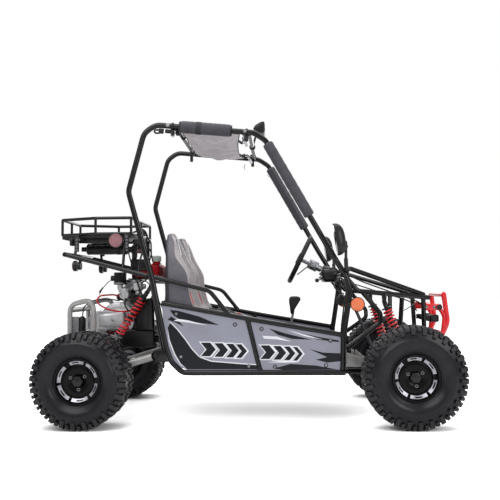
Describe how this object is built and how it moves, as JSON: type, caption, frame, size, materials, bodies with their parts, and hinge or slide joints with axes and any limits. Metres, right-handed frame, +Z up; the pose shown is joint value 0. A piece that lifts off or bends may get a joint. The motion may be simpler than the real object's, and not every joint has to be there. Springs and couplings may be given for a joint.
{
  "type": "off road go kart",
  "caption": "Two-seat off road go kart with a welded tube cage, cloth canopy, luggage rack, sprung front arms, a rear swingarm and chain drive.",
  "frame": {"origin": "on the ground under the middle of the kart's bounding box", "axes": "+X forward, +Y to the kart's left, +Z up"},
  "size_m": [2.0319, 1.21, 1.545],
  "materials": {
    "frame_paint": "gloss black paint",
    "panel_paint": "satin grey paint with dark printed slashes",
    "bumper_paint": "gloss red paint",
    "guard_paint": "silver paint",
    "spring_paint": "gloss red paint",
    "steel": "plain steel",
    "alloy": "cast, slightly rough",
    "wheel_alloy": "gloss black with a machined ring",
    "tyre_rubber": "matt black",
    "seat_cover": "grained cover in two greys",
    "canopy_cloth": "woven grey cloth",
    "foam": "dark cloth sleeve over foam",
    "black_plastic": "matt black",
    "tank_plastic": "gloss red",
    "muffler_paint": "heat-proof black"
  },
  "bodies": {
    "frame": {"floor_frame": "frame_paint", "roll_hoop_right": "frame_paint", "roll_hoop_left": "frame_paint", "side_frame_right": "frame_paint", "side_frame_left": "frame_paint", "side_panel_rear_right": "panel_paint", "side_panel_rear_left": "panel_paint", "side_panel_front_right": "panel_paint", "side_panel_front_left": "panel_paint", "nose_frame_upper": "frame_paint", "nose_frame_lower": "frame_paint", "rear_subframe": "frame_paint", "cargo_rack": "frame_paint", "front_bumper": "bumper_paint", "engine_guard": "guard_paint", "seat_right": "seat_cover", "seat_left": "seat_cover", "canopy": "canopy_cloth", "roof_pad_right": "foam", "pillar_pad_right": "foam", "pillar_pad_left": "foam", "engine_case": "alloy", "cylinder_head": "alloy", "air_filter": "black_plastic", "exhaust": "muffler_paint", "fuel_tank": "tank_plastic"},
    "swingarm": {"swingarm": "steel", "drive_chain": "steel"},
    "rear_axle": {"rear_axle": "steel", "rear_tyre_right": "tyre_rubber", "rear_tyre_left": "tyre_rubber", "rear_rim_right": "wheel_alloy", "rear_rim_left": "wheel_alloy"},
    "rear_shock_upper": {"rear_shock_body": "black_plastic", "rear_shock_spring": "spring_paint"},
    "rear_shock_lower": {"rear_shock_rod": "steel"},
    "front_arm_right": {"front_arm_right": "frame_paint"},
    "knuckle_right": {"front_knuckle_right": "steel"},
    "front_wheel_right": {"front_tyre_right": "tyre_rubber", "front_rim_right": "wheel_alloy"},
    "front_shock_upper_right": {"front_shock_right_body": "black_plastic", "front_shock_right_spring": "spring_paint"},
    "front_shock_lower_right": {"front_shock_right_rod": "steel"},
    "front_arm_left": {"front_arm_left": "frame_paint"},
    "knuckle_left": {"front_knuckle_left": "steel"},
    "front_wheel_left": {"front_tyre_left": "tyre_rubber", "front_rim_left": "wheel_alloy"},
    "front_shock_upper_left": {"front_shock_left_body": "black_plastic", "front_shock_left_spring": "spring_paint"},
    "front_shock_lower_left": {"front_shock_left_rod": "steel"},
    "steering_wheel": {"steering_wheel": "black_plastic"},
    "steering_lower_shaft": {"steering_lower_shaft": "steel"},
    "steering_rack_bar": {"steering_rack_bar": "steel"},
    "tie_rod_right": {"tie_rod_right": "steel"},
    "tie_rod_left": {"tie_rod_left": "steel"},
    "brake_pedal": {"brake_pedal": "steel"},
    "throttle_pedal": {"throttle_pedal": "steel"},
    "gear_lever": {"gear_lever": "black_plastic"},
    "door_mirror_right": {"door_mirror_right": "black_plastic"},
    "door_mirror_left": {"door_mirror_left": "black_plastic"}
  },
  "joints": [
    {"name": "swingarm_lift", "type": "hinge", "parent": "frame", "child": "swingarm", "pos_m": [-0.47, 0, 0.319], "axis": [0, 1, 0], "range_deg": [0, 12], "stiffness_Nm_per_rad": 2000, "springref_deg": -11.46},
    {"name": "rear_axle_spin", "type": "hinge", "parent": "swingarm", "child": "rear_axle", "pos_m": [-0.79, 0, 0.226], "axis": [0, 1, 0], "continuous": true},
    {"name": "rear_shock_swing", "type": "hinge", "parent": "frame", "child": "rear_shock_upper", "pos_m": [-0.532, -0.216, 0.634], "axis": [0, 1, 0], "range_deg": [0, 3.7]},
    {"name": "rear_shock_slide", "type": "slide", "parent": "rear_shock_upper", "child": "rear_shock_lower", "axis": [0.5588, 0, 0.8293], "range_m": [0, 0.0495], "deforming": ["rear_shock_spring"]},
    {"name": "front_arm_lift_right", "type": "hinge", "parent": "frame", "child": "front_arm_right", "pos_m": [0.763, -0.156, 0.265], "axis": [-1, 0, 0], "range_deg": [0, 13], "stiffness_Nm_per_rad": 700, "springref_deg": -18.33},
    {"name": "knuckle_turn_right", "type": "hinge", "parent": "front_arm_right", "child": "knuckle_right", "pos_m": [0.763, -0.385, 0.215], "axis": [0, 0, 1], "range_deg": [-20, 20]},
    {"name": "front_wheel_spin_right", "type": "hinge", "parent": "knuckle_right", "child": "front_wheel_right", "pos_m": [0.763, -0.501, 0.238], "axis": [0, 1, 0], "continuous": true},
    {"name": "front_shock_swing_right", "type": "hinge", "parent": "frame", "child": "front_shock_upper_right", "pos_m": [0.664, -0.279, 0.58], "axis": [-0.2315, -0.9711, 0.0586], "range_deg": [0, 2.4]},
    {"name": "front_shock_slide_right", "type": "slide", "parent": "front_shock_upper_right", "child": "front_shock_lower_right", "axis": [-0.3212, 0.1331, 0.9376], "range_m": [0, 0.0362], "deforming": ["front_shock_right_spring"]},
    {"name": "front_arm_lift_left", "type": "hinge", "parent": "frame", "child": "front_arm_left", "pos_m": [0.763, 0.156, 0.265], "axis": [1, 0, 0], "range_deg": [0, 13], "stiffness_Nm_per_rad": 700, "springref_deg": -18.33},
    {"name": "knuckle_turn_left", "type": "hinge", "parent": "front_arm_left", "child": "knuckle_left", "pos_m": [0.763, 0.385, 0.215], "axis": [0, 0, 1], "range_deg": [-20, 20]},
    {"name": "front_wheel_spin_left", "type": "hinge", "parent": "knuckle_left", "child": "front_wheel_left", "pos_m": [0.763, 0.501, 0.238], "axis": [0, 1, 0], "continuous": true},
    {"name": "front_shock_swing_left", "type": "hinge", "parent": "frame", "child": "front_shock_upper_left", "pos_m": [0.664, 0.279, 0.58], "axis": [0.2315, -0.9711, -0.0586], "range_deg": [0, 2.4]},
    {"name": "front_shock_slide_left", "type": "slide", "parent": "front_shock_upper_left", "child": "front_shock_lower_left", "axis": [-0.3212, -0.1331, 0.9376], "range_m": [0, 0.0362], "deforming": ["front_shock_left_spring"]},
    {"name": "steering_turn", "type": "hinge", "parent": "frame", "child": "steering_wheel", "pos_m": [0.262, 0.19, 0.812], "axis": [0.8949, 0, -0.4462], "range_deg": [-160, 160]},
    {"name": "steering_shaft_turn", "type": "hinge", "parent": "frame", "child": "steering_lower_shaft", "pos_m": [0.49558, 0.19, 0.69554], "axis": [0.3503, -0.3387, -0.8733], "range_deg": [-160, 160]},
    {"name": "rack_slide", "type": "slide", "parent": "frame", "child": "steering_rack_bar", "axis": [0, 1, 0], "range_m": [-0.0353, 0.0353]},
    {"name": "tie_rod_lift_right", "type": "hinge", "parent": "steering_rack_bar", "child": "tie_rod_right", "pos_m": [0.66, -0.156, 0.265], "axis": [-1, 0, 0], "range_deg": [0, 13]},
    {"name": "tie_rod_lift_left", "type": "hinge", "parent": "steering_rack_bar", "child": "tie_rod_left", "pos_m": [0.66, 0.156, 0.265], "axis": [1, 0, 0], "range_deg": [0, 13]},
    {"name": "brake_pedal_press", "type": "hinge", "parent": "frame", "child": "brake_pedal", "pos_m": [0.52, 0.122, 0.286], "axis": [0, 1, 0], "range_deg": [0, 25], "stiffness_Nm_per_rad": 4, "springref_deg": -22.92},
    {"name": "throttle_pedal_press", "type": "hinge", "parent": "frame", "child": "throttle_pedal", "pos_m": [0.52, 0.03, 0.286], "axis": [0, 1, 0], "range_deg": [0, 25], "stiffness_Nm_per_rad": 4, "springref_deg": -22.92},
    {"name": "gear_lever_swing", "type": "hinge", "parent": "frame", "child": "gear_lever", "pos_m": [0.176, 0, 0.318], "axis": [0, 1, 0], "range_deg": [-15, 15]},
    {"name": "door_mirror_turn_right", "type": "hinge", "parent": "frame", "child": "door_mirror_right", "pos_m": [0.466, -0.428, 0.85], "axis": [0, 0, 1], "range_deg": [-17, 17]},
    {"name": "door_mirror_turn_left", "type": "hinge", "parent": "frame", "child": "door_mirror_left", "pos_m": [0.466, 0.428, 0.85], "axis": [0, 0, 1], "range_deg": [-17, 17]}
  ],
  "couplings": [
    {"joint": "rear_shock_swing", "follows": "swingarm_lift", "ratio": 0.30579},
    {"joint": "rear_shock_slide", "follows": "swingarm_lift", "m_per_rad": 0.23476},
    {"joint": "front_shock_swing_right", "follows": "front_arm_lift_right", "ratio": 0.18012},
    {"joint": "front_shock_slide_right", "follows": "front_arm_lift_right", "m_per_rad": 0.15827},
    {"joint": "tie_rod_lift_right", "follows": "front_arm_lift_right", "ratio": 1},
    {"joint": "knuckle_turn_right", "follows": "steering_turn", "ratio": -0.125},
    {"joint": "front_shock_swing_left", "follows": "front_arm_lift_left", "ratio": 0.18012},
    {"joint": "front_shock_slide_left", "follows": "front_arm_lift_left", "m_per_rad": 0.15827},
    {"joint": "tie_rod_lift_left", "follows": "front_arm_lift_left", "ratio": 1},
    {"joint": "knuckle_turn_left", "follows": "steering_turn", "ratio": -0.125},
    {"joint": "steering_shaft_turn", "follows": "steering_turn", "ratio": 1},
    {"joint": "rack_slide", "follows": "steering_turn", "m_per_rad": 0.012615}
  ]
}
